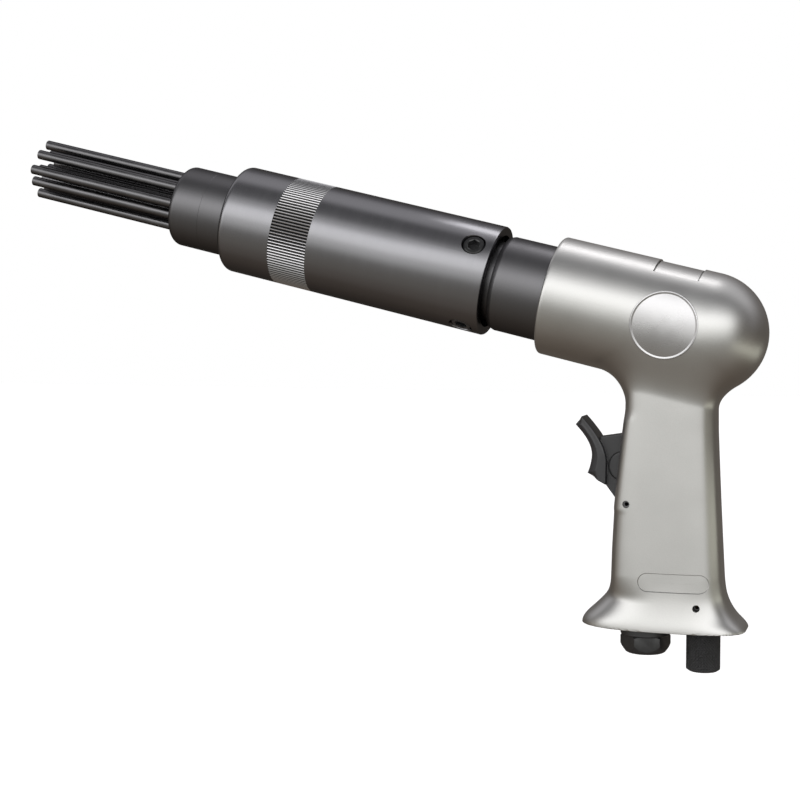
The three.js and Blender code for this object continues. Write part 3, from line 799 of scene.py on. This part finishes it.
def build_shroud():
    """The sleeve with its ridged band, and the holes for the set screws."""
    rear, front, surface, lip, edge = (SHROUD[key] for key in ("rear", "front", "r", "lip", "edge"))
    first, last = KNURL["from"], KNURL["to"]

    def knurl(angle, r, z):
        if r < surface - 0.05 or not first < z < last:
            return np.full(angle.shape, r)
        return r - KNURL["depth"] * (1 - np.cos(angle * KNURL["count"])) / 2

    profile = [(SHROUD["bore"], rear), (surface - 0.7, rear), (surface - 0.2, rear + 0.2)]
    profile += [(surface, rear + 0.7), (surface, 60)]
    band = [first, first + 0.02, first + 0.2, *np.linspace(first + 1, last - 1, 6)]
    profile += [(surface, z) for z in (*band, last - 0.2, last - 0.02, last)]
    profile += corner_arc(surface - edge, front - edge, edge, 0, 90)
    seat = NOSE["step"] + 0.3
    profile += [(lip + 0.15, front), (lip, front - 0.2), (lip, seat), (SHROUD["bore"], seat)]
    shroud = lathe("shroud_sleeve", profile, sides=KNURL["count"] * 8, shape=knurl, sharp=42)
    hole_r = SCREW["r"] + 0.18
    wide, top = hole_r + 0.35, surface + 2
    hole = [(0, 12), (hole_r, 12), (hole_r, 20.15), (wide, 20.6), (wide, top), (0, top)]
    holes = [lathe(f"hole_{i}", hole, around(i), 64) for i in range(len(SCREW["angles"]))]
    return boolean(shroud, holes, sharp=42)


def build_set_screw(index):
    """A set screw standing on the cylinder's neck, with a hexagon socket in its head."""
    foot, top, r = CYLINDER["neck"] + 0.3, SHROUD["r"] - 0.55, SCREW["r"]
    profile = [(0, foot), (r - 0.5, foot), (r, CYLINDER["neck"] + 0.8), (r, top - 0.55)]
    profile += [(r - 0.12, top - 0.3), (r - 0.55, top), (0, top)]
    screw = lathe(f"set_screw_{index + 1}_body", profile, around(index), 64)
    corner = SCREW["socket"] / math.sqrt(3)
    spin = math.radians(11 + 17 * index)  # no two sockets stand alike
    lead = [(0, top - 0.25), (corner * 0.86, top - 0.25), (corner + 0.12, top + 0.05), (0, top + 0.05)]
    cone = lathe("lead", lead, around(index), 48)
    socket = prism("socket", circle(corner, 6, start=spin), top - 2.5, top + 1, around(index))
    return boolean(screw, [socket, cone])


def build_nose():
    """The nose tube, with a turned hairline round it and a lip at its mouth."""
    rear, step, front, r, bore, mouth, edge = NOSE.values()
    line, half = HAIRLINE["station"], HAIRLINE["half"]
    profile = [(bore, rear), (NOSE_FOOT_R, rear), (NOSE_FOOT_R, step), (r, step)]
    profile += [(r, line - half), (r - HAIRLINE["depth"], line), (r, line + half)]
    profile += corner_arc(r - edge, front - edge, edge, 0, 88)
    profile += [(mouth, front - 0.1), (mouth, front - 4.5), (bore, front - 4.5)]
    return lathe("nose_tube_body", profile, sides=144)


def needle_places():
    """Centres of the needles across the barrel, read from their own solids."""
    across = np.array(BARREL.to_3x3())
    places = []
    for name in NEEDLES:
        local = (points(name) - FACE) @ across
        places.append((local[:, :2].min(0) + local[:, :2].max(0)) / 2)
    return places


def build_guide():
    """The disc inside the nose tube's mouth that the needles run through."""
    rear, front, r = GUIDE["rear"], NOSE["front"] - 4.8, GUIDE["r"]
    profile = [(0, rear), (r, rear), (r, front - 0.3), (r - 0.3, front), (0, front)]
    guide = lathe("needle_guide_disc", profile, sides=96)
    hole_r = NEEDLE["r"] + 0.2
    wide = hole_r + 0.2
    hole = [(0, rear - 1), (hole_r, rear - 1), (hole_r, front - 0.3)]
    hole += [(wide, front - 0.1), (wide, front + 1), (0, front + 1)]
    places = [BARREL @ at(x, y, 0) for x, y in needle_places()]
    return boolean(guide, [lathe(f"guide_hole_{i}", hole, place, 32) for i, place in enumerate(places)])


def build_needle(index, x, y):
    """A needle: a headed rod whose tip has worn edges."""
    rear, front, r, head = NEEDLE.values()
    profile = [(0, rear), (head - 0.25, rear), (head, rear + 0.25), (head, rear + 1.8)]
    profile += [(head - 0.2, rear + 2), (r + 0.2, rear + 2), (r, rear + 2.2)]
    profile += [(r, front - 0.32), (r - 0.1, front - 0.12), (r - 0.3, front), (0, front)]
    return lathe(f"needle_rod_{index + 1:02d}", profile, BARREL @ at(x, y, 0), 32)


# ---- materials
NOISE_RANGE = (0.3, 0.7)  # the part of 0 to 1 that noise mostly fills


class Nodes:
    """Short names for building a node tree."""

    def __init__(self, tree):
        self.tree = tree

    def add(self, kind, inputs=(), **settings):
        node = self.tree.nodes.new("ShaderNode" + kind)
        for key, value in settings.items():
            setattr(node, key, value)
        for key, value in dict(inputs).items():
            self.feed(node, key, value)
        return node

    def feed(self, node, key, value):
        if isinstance(value, bpy.types.NodeSocket):
            self.tree.links.new(value, node.inputs[key])
        else:
            node.inputs[key].default_value = value

    def math(self, operation, a, b=0.0):
        return self.add("Math", {0: a, 1: b}, operation=operation).outputs[0]

    def stretch(self, scale):
        """Object coordinates, in metres, stretched by a vector."""
        where = self.add("TexCoord").outputs["Object"]
        return self.add("Mapping", {"Vector": where, "Scale": scale}).outputs[0]

    def weighted(self, *parts):
        """The sum of values, each given with its weight."""
        products = [self.math("MULTIPLY", value, weight) for value, weight in parts]
        total = products[0]
        for product in products[1:]:
            total = self.math("ADD", total, product)
        return total

    def remap(self, value, start, end, low=0.0, high=1.0, kind="LINEAR"):
        inputs = {"Value": value, "From Min": start, "From Max": end, "To Min": low, "To Max": high}
        return self.add("MapRange", inputs, interpolation_type=kind).outputs["Result"]

    def mix_colours(self, share, a, b):
        return self.add("Mix", {0: share, 6: a, 7: b}, data_type="RGBA").outputs[2]

    def noise(self, vector, scale, detail=2.0, roughness=0.5):
        inputs = {"Vector": vector, "Scale": scale, "Detail": detail, "Roughness": roughness}
        return self.add("TexNoise", inputs).outputs["Fac"]

    def ramp(self, value, stops, mode="LINEAR"):
        node = self.add("ValToRGB", {"Fac": value})
        node.color_ramp.interpolation = mode
        elements = node.color_ramp.elements
        stops = list(stops)
        while len(elements) < len(stops):
            elements.new(0.5)
        for element, (position, colour) in zip(elements, stops):
            element.position = position
            element.color = colour
        return node.outputs["Color"]

    def around_axis(self, turns, lengthwise):
        """Coordinates on a turned piece: turns round local Z, and length along it."""
        where = self.add("SeparateXYZ", {0: self.add("TexCoord").outputs["Object"]})
        angle = self.math("ARCTAN2", where.outputs[1], where.outputs[0])
        side = self.add("CombineXYZ", {0: self.math("COSINE", angle), 1: self.math("SINE", angle)})
        circle_part = self.add("VectorMath", {0: side.outputs[0], "Scale": turns}, operation="SCALE")
        along = self.math("MULTIPLY", where.outputs[2], lengthwise)
        line = self.add("CombineXYZ", {2: along})
        return self.add("VectorMath", {0: circle_part.outputs[0], 1: line.outputs[0]}).outputs[0]


def new_material(name, colour, metallic, roughness):
    """A material, its node helper and its shader."""
    material = bpy.data.materials.new(name)
    material.use_nodes = True
    shader = material.node_tree.nodes["Principled BSDF"]
    shader.inputs["Base Color"].default_value = (*colour, 1)
    shader.inputs["Metallic"].default_value = metallic
    shader.inputs["Roughness"].default_value = roughness
    return material, Nodes(material.node_tree), shader


def shaded(nodes, shader, colour, mask, amount):
    """Base colour darkened and lightened by a mask round its mean."""
    low = tuple(c * (1 - amount) for c in colour) + (1,)
    high = tuple(min(1, c * (1 + amount)) for c in colour) + (1,)
    nodes.feed(shader, "Base Color", nodes.ramp(mask, zip(NOISE_RANGE, (low, high))))


def rough(nodes, shader, mask, middle, below, above):
    """Roughness spread round its middle by a mask."""
    nodes.feed(shader, "Roughness", nodes.remap(mask, *NOISE_RANGE, middle - below, middle + above))


def bump(nodes, shader, height, distance):
    """A surface relief as deep as `distance`, in metres."""
    inputs = {"Height": height, "Distance": distance, "Strength": 1.0}
    nodes.feed(shader, "Normal", nodes.add("Bump", inputs).outputs[0])


def cast_aluminium(name, colour, roughness):
    """Bead-blasted and clear-finished die casting: even satin with a very fine grain."""
    material, nodes, shader = new_material(name, colour, 1.0, roughness)
    where = nodes.stretch((1, 1, 1))
    grain = nodes.noise(where, scale=2600, detail=3)
    cloud = nodes.noise(where, scale=60, detail=3)
    shaded(nodes, shader, colour, nodes.weighted((cloud, 0.6), (grain, 0.4)), amount=0.05)
    rough(nodes, shader, cloud, roughness, below=0.02, above=0.02)
    bump(nodes, shader, grain, distance=0.00002)
    return material


def turned_metal(name, colour, roughness, spread=0.025, edge=0.4):
    """Turned and blued steel: fine tool lines round the axis over a faint mottle."""
    material, nodes, shader = new_material(name, colour, 1.0, roughness)
    shader.inputs["Specular Tint"].default_value = (edge, edge, edge, 1)
    lines = nodes.noise(nodes.around_axis(turns=1.2, lengthwise=5200), scale=1.0)
    bands = nodes.noise(nodes.around_axis(turns=0.8, lengthwise=420), scale=1.0)
    grain = nodes.noise(nodes.stretch((1, 1, 1)), scale=1900)
    mix = nodes.weighted((lines, 0.5), (bands, 0.25), (grain, 0.25))
    shaded(nodes, shader, colour, mix, spread)
    rough(nodes, shader, bands, roughness, below=0.015, above=0.015)
    bump(nodes, shader, mix, distance=0.00001)
    return material


def ridged_sleeve(name, colour, roughness):
    """The sleeve's turned steel; on its ridged band, painted shade darkens the grooves and a painted highlight
    lightens the crests.
    """
    material = turned_metal(name, colour, roughness)
    nodes = Nodes(material.node_tree)
    shader = material.node_tree.nodes["Principled BSDF"]
    turned = shader.inputs["Base Color"].links[0].from_socket
    where = nodes.add("SeparateXYZ", {0: nodes.add("TexCoord").outputs["Object"]}).outputs
    squares = [nodes.math("MULTIPLY", where[i], where[i]) for i in (0, 1)]
    radius = nodes.math("SQRT", nodes.math("ADD", *squares))
    height = nodes.remap(radius, (SHROUD["r"] - KNURL["depth"]) * MM, SHROUD["r"] * MM)
    # Painted shade for the grooves, a middle tone, then a painted highlight for the crests, set by the radius on
    # the band.
    groove_shade, mid, crest_highlight = (0.03, 0.029, 0.03, 1), (0.2, 0.198, 0.205, 1), (0.72, 0.715, 0.73, 1)
    painted_ridge_shading = nodes.ramp(height, [(0.25, groove_shade), (0.6, mid), (0.95, crest_highlight)])
    after = nodes.math("GREATER_THAN", where[2], KNURL["from"] * MM)
    before = nodes.math("LESS_THAN", where[2], KNURL["to"] * MM)
    band = nodes.math("MULTIPLY", after, before)
    nodes.feed(shader, "Base Color", nodes.mix_colours(band, turned, painted_ridge_shading))
    return material


def drawn_wire(name, colour, roughness):
    """Drawn steel wire: faint lengthwise lines and a mottled scale."""
    material, nodes, shader = new_material(name, colour, 1.0, roughness)
    shader.inputs["Specular Tint"].default_value = (0.3, 0.3, 0.3, 1)
    lines = nodes.noise(nodes.stretch((2600, 2600, 18)), scale=1.0)
    mill_scale = nodes.noise(nodes.stretch((1, 1, 0.35)), scale=420, detail=4, roughness=0.6)
    mix = nodes.weighted((lines, 0.4), (mill_scale, 0.6))
    shaded(nodes, shader, colour, mix, amount=0.22)
    rough(nodes, shader, mill_scale, roughness, below=0.07, above=0.09)
    bump(nodes, shader, mix, distance=0.00003)
    return material


def mottled(name, colour, metallic, roughness, grain, gloss_spread=0.05, shine=0.5):
    """An even finish with a fine grain, given as its scale, its contrast and its height."""
    grain_scale, amount, height = grain
    material, nodes, shader = new_material(name, colour, metallic, roughness)
    shader.inputs["Specular IOR Level"].default_value = shine
    where = nodes.stretch((1, 1, 1))
    fine = nodes.noise(where, grain_scale, detail=3)
    cloud = nodes.noise(where, grain_scale / 14, detail=3)
    shaded(nodes, shader, colour, nodes.weighted((fine, 0.55), (cloud, 0.45)), amount)
    rough(nodes, shader, cloud, roughness, gloss_spread, gloss_spread)
    bump(nodes, shader, fine, height)
    return material


# Each row is the function that makes a material, then the arguments it takes.
MATERIALS = {
    name: maker(name, *look)
    for maker, name, *look in (
        (cast_aluminium, "cast_aluminium", (0.53, 0.527, 0.517), 0.35),
        (cast_aluminium, "badge_aluminium", (0.5, 0.495, 0.5), 0.28),
        (ridged_sleeve, "blued_sleeve", (0.24, 0.238, 0.25), 0.24),
        (turned_metal, "dark_steel", (0.145, 0.143, 0.149), 0.36),
        (turned_metal, "bright_steel", (0.55, 0.55, 0.56), 0.3, 0.04, 1.0),
        (drawn_wire, "needle_steel", (0.145, 0.143, 0.148), 0.27),
        (mottled, "black_oxide", (0.014, 0.014, 0.015), 0.2, 0.32, (900, 0.3, 0.00001), 0.04, 0.8),
        (mottled, "knurled_black", (0.018, 0.018, 0.019), 0.2, 0.36, (3000, 0.9, 0.0002)),
        (mottled, "trigger_black", (0.016, 0.016, 0.018), 0.0, 0.42, (1600, 0.12, 0.00001), 0.04, 0.6),
        (mottled, "brass", (0.62, 0.43, 0.16), 1.0, 0.32, (1400, 0.08, 0.00002)),
        (mottled, "rubber", (0.016, 0.016, 0.016), 0.0, 0.75, (1700, 0.25, 0.00003)),
    )
}


def paint(obj, material):
    obj.data.materials.clear()
    obj.data.materials.append(MATERIALS[material])


# ---- assembly
BODY_OF = {}
for body, nodes_on_it in frame["record"]["behaviour"]["bodies"].items():
    for node in nodes_on_it:
        BODY_OF[node] = body


def place(piece, node, slot, material=None):
    """Puts a visual piece in a CAD node's stead: on the node's body, with the node hidden, painted with the slot's
    material unless another is given.
    """
    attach(piece, BODY_OF[node])
    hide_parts(node)
    paint(piece, material or slot)


place(build_housing(), "housing", "cast_aluminium")
place(build_badge(), "side_badge", "cast_aluminium", "badge_aluminium")
place(build_trigger(), "trigger", "trigger_black")
place(roll_pin("trigger_roll_pin", "trigger_pin", 1.2), "trigger_pin", "bright_steel", "dark_steel")
place(roll_pin("regulator_roll_pin", "regulator_pin", 1.1), "regulator_pin", "black_oxide")
place(build_inlet(), "inlet_bushing", "black_oxide")
place(build_knob(), "regulator_knob", "knurled_black")
place(build_cylinder(), "cylinder", "dark_steel")
place(build_shroud(), "shroud", "blued_sleeve")
for i in range(len(SCREW["angles"])):
    place(build_set_screw(i), f"set_screw_{i + 1}", "black_oxide")
place(build_nose(), "nose_tube", "dark_steel")
place(build_guide(), "needle_guide", "dark_steel")
for i, (x, y) in enumerate(needle_places()):
    place(build_needle(i, x, y), NEEDLES[i], "needle_steel")


def place_spring(node, axis):
    """A spring's own CAD solid, copied and smooth-shaded, put in its node's stead."""
    along = points(node) @ np.array(axis)
    coil = linked(node + "_coil", NODES[node].data.copy())
    smooth(coil, 40)
    place(coil, node, "bright_steel")
    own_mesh(coil)


holder_end = (FACE + AXIS * ((points("return_spring") - FACE) @ AXIS).max()) * MM
place_spring("throttle_spring", (1, 0, 0))
place_spring("return_spring", AXIS)

# Other inner pieces keep their CAD solids and take a finish by what they are made of.
INNER = {
    "brass": ("inlet_strainer", "regulator_spindle", "throttle_bush", "throttle_seat", "anvil_bush"),
    "rubber": ("regulator_o_ring", "throttle_o_ring", "throttle_valve", "anvil_buffer", "shroud_o_ring"),
    "bright_steel": ("throttle_stem", "valve_disc", "valve_dowel", "piston", "anvil"),
    "dark_steel": ("valve_chest", "valve_plate", "needle_holder"),
}
for material, names in INNER.items():
    for name in names:
        paint(NODES[name], material)

# ---- studio
# Strips of light run along the tool, each at a roll round X: 0 level in front, 90 above, 180 behind.
STUDIO = [
    (-180, (0.13, 0.115, 0.1)),
    (-120, (0.13, 0.105, 0.085)),
    (-88, (0.17, 0.14, 0.115)),
    (-64, (0.26, 0.23, 0.2)),
    (-40, (0.34, 0.32, 0.285)),
    (-18, (0.4, 0.39, 0.365)),
    (-8, (0.78, 0.78, 0.75)),
    (-3, (1.15, 1.15, 1.12)),
    (6, (1.32, 1.32, 1.29)),
    (16, (2.2, 2.2, 2.18)),
    (30, (2.3, 2.3, 2.3)),
    (44, (0.95, 0.95, 0.95)),
    (60, (0.26, 0.26, 0.265)),
    (80, (0.2, 0.2, 0.205)),
    (97, (0.8, 0.79, 0.81)),
    (118, (0.8, 0.79, 0.81)),
    (134, (0.4, 0.39, 0.4)),
    (155, (0.18, 0.165, 0.155)),
    (180, (0.13, 0.115, 0.1)),
]
# The same strips beyond the tool's rear end, where the front light gives out.
STUDIO_REAR = [
    (-180, (0.09, 0.075, 0.06)),
    (-90, (0.16, 0.135, 0.115)),
    (-55, (0.24, 0.21, 0.18)),
    (-28, (0.2, 0.18, 0.155)),
    (-14, (0.13, 0.115, 0.095)),
    (20, (0.12, 0.105, 0.085)),
    (40, (0.16, 0.15, 0.14)),
    (84, (0.18, 0.17, 0.17)),
    (98, (0.4, 0.39, 0.4)),
    (112, (0.4, 0.39, 0.4)),
    (130, (0.18, 0.165, 0.16)),
    (180, (0.09, 0.075, 0.06)),
]
# And beyond the muzzle.
STUDIO_MUZZLE = [
    (-180, (0.1, 0.085, 0.07)),
    (-60, (0.26, 0.225, 0.19)),
    (-14, (0.52, 0.49, 0.45)),
    (4, (0.46, 0.43, 0.39)),
    (20, (0.22, 0.19, 0.165)),
    (60, (0.18, 0.165, 0.155)),
    (98, (0.45, 0.445, 0.45)),
    (130, (0.2, 0.19, 0.185)),
    (180, (0.1, 0.085, 0.07)),
]
STUDIO_PEAK = 2.4
FRONT_WRAP = (0.1, 0.2)  # how far the front light reaches round the muzzle and the rear end


def strip_ramp(nodes, roll, strips):
    """The strips' colour at a roll in radians, as a share of the studio's peak."""
    share = nodes.math("ADD", nodes.math("DIVIDE", roll, 2 * math.pi), 0.5)
    stops = [((turn + 180) / 360, (*(c / STUDIO_PEAK for c in colour), 1)) for turn, colour in strips]
    return nodes.ramp(share, stops, "EASE")


def light_studio():
    """The world: strips of light that the metal mirrors, and plain white where the camera sees past it."""
    world = bpy.data.worlds.new("studio")
    bpy.context.scene.world = world
    world.use_nodes = True
    world.node_tree.nodes.clear()
    nodes = Nodes(world.node_tree)
    way = nodes.add("SeparateXYZ", {0: nodes.add("TexCoord").outputs["Generated"]})
    lengthwise, forward, up = way.outputs[0], nodes.math("MULTIPLY", way.outputs[1], -1.0), way.outputs[2]
    wrap = nodes.remap(lengthwise, -0.2, 0.2, *FRONT_WRAP)
    bend = nodes.math("MULTIPLY", nodes.math("MULTIPLY", lengthwise, lengthwise), wrap)
    roll = nodes.math("ARCTAN2", up, nodes.math("ADD", forward, bend))
    light = strip_ramp(nodes, roll, STUDIO)
    for strips, start, end in ((STUDIO_REAR, 0.72, 0.93), (STUDIO_MUZZLE, -0.84, -0.96)):
        share = nodes.remap(lengthwise, start, end, kind="SMOOTHSTEP")
        light = nodes.mix_colours(share, light, strip_ramp(nodes, roll, strips))
    studio = nodes.add("Background", {"Color": light, "Strength": STUDIO_PEAK})
    backdrop = nodes.add("Background", {"Color": (1, 1, 1, 1), "Strength": 1.0})
    seen = nodes.add("LightPath").outputs["Is Camera Ray"]
    surface = nodes.add("MixShader", {0: seen, 1: studio.outputs[0], 2: backdrop.outputs[0]})
    nodes.add("OutputWorld", {"Surface": surface.outputs[0]})


def stand_off(obj, spot, way, distance):
    """Puts a light or camera at a distance from a spot, looking back at it."""
    obj.location = Vector((np.array(spot) + distance * way) * MM)
    obj.rotation_euler = Vector(-way).to_track_quat("-Z", "Y").to_euler()


def hang_panel(name, spot, toward, distance, size, radiance, colour):
    """A soft light, of a size across and up, that stands `toward` some way from the spot it lights."""
    data = bpy.data.lights.new(name, "AREA")
    data.shape = "RECTANGLE"
    data.size, data.size_y = (length * MM for length in size)
    data.color = colour
    data.energy = radiance * math.pi * data.size * data.size_y
    panel = linked(name, data)
    stand_off(panel, spot, np.array(toward) / np.linalg.norm(toward), distance)
    panel.visible_camera = False


def lay_floor():
    """A plain pale floor, well below the tool, which the metal doesn't mirror."""
    half, height = 3000.0, -90.0
    verts = [(half * x, half * y, height) for x, y in ((-1, -1), (1, -1), (1, 1), (-1, 1))]
    floor = new_object("floor", verts, [(0, 1, 2, 3)])
    floor.visible_glossy = False
    material, nodes, shader = new_material("pale_floor", (0.95, 0.95, 0.95), 0.0, 0.9)
    shader.inputs["Emission Color"].default_value = (1, 1, 1, 1)
    shader.inputs["Emission Strength"].default_value = 0.5
    floor.data.materials.append(material)


# Where the camera aims, from the middle of the CAD box, and how far off and at which angles it stands.
CAMERA = {"aim": (12.3, -12.9, -2.15), "distance": 620.0, "azimuth": 17.55, "elevation": 3.5, "lens": 74.2}


def set_camera():
    low, high = (np.array(corner) / MM for corner in cad_box)
    aim = (low + high) / 2 + np.array(CAMERA["aim"])
    azimuth, elevation = math.radians(CAMERA["azimuth"]), math.radians(CAMERA["elevation"])
    level = math.cos(elevation)
    way = np.array([math.sin(azimuth) * level, -math.cos(azimuth) * level, math.sin(elevation)])
    data = bpy.data.cameras.new("camera")
    data.sensor_width = 36
    data.lens = CAMERA["lens"]
    data.clip_start = 0.01
    camera = linked("camera", data)
    stand_off(camera, aim, way, CAMERA["distance"])
    bpy.context.scene.camera = camera


light_studio()
hang_panel(
    "back_panel",
    spot=FACE - 32.0 * AXIS,
    toward=(0.05, 0.31, 0.95),
    distance=300.0,
    size=(150.0, 72.0),
    radiance=2.6,
    colour=(1.0, 0.99, 1.0),
)
hang_panel(
    "grip_panel",
    spot=(15.0, 0.0, 42.0),
    toward=(0.975, 0.07, -0.1),
    distance=200.0,
    size=(330.0, 48.0),
    radiance=0.8,
    colour=(0.98, 1.0, 0.86),
)
lay_floor()
set_camera()
bpy.context.scene.view_settings.view_transform = "Standard"
